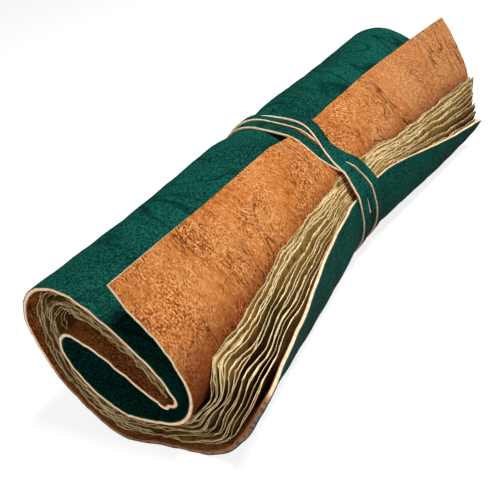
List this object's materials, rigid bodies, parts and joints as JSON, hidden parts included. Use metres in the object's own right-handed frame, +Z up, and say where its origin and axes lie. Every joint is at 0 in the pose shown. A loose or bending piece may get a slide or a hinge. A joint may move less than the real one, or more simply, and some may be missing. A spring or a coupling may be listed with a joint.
{
  "type": "leather journal",
  "caption": "Soft leather-bound journal of deckle-edged paper, closed and rolled up from its spine, tied round the middle with a flat leather strap.",
  "frame": {"origin": "middle of the bounding box, on the floor that the roll rests on", "axes": "+Y along the roll, away from the end whose mouth opens widest; +Z up; +X across, to the side where the pages show"},
  "size_m": [0.0818, 0.2, 0.0582],
  "materials": {
    "cover_leather": "grained green outside, tan suede inside",
    "paper": "rough straw-coloured handmade paper",
    "strap_leather": "green with pale cut edges",
    "thread": "waxed linen"
  },
  "bodies": {
    "root": {"cover": "cover_leather", "pages": "paper", "tie_strap": "strap_leather", "binding_thread": "thread"}
  },
  "joints": []
}
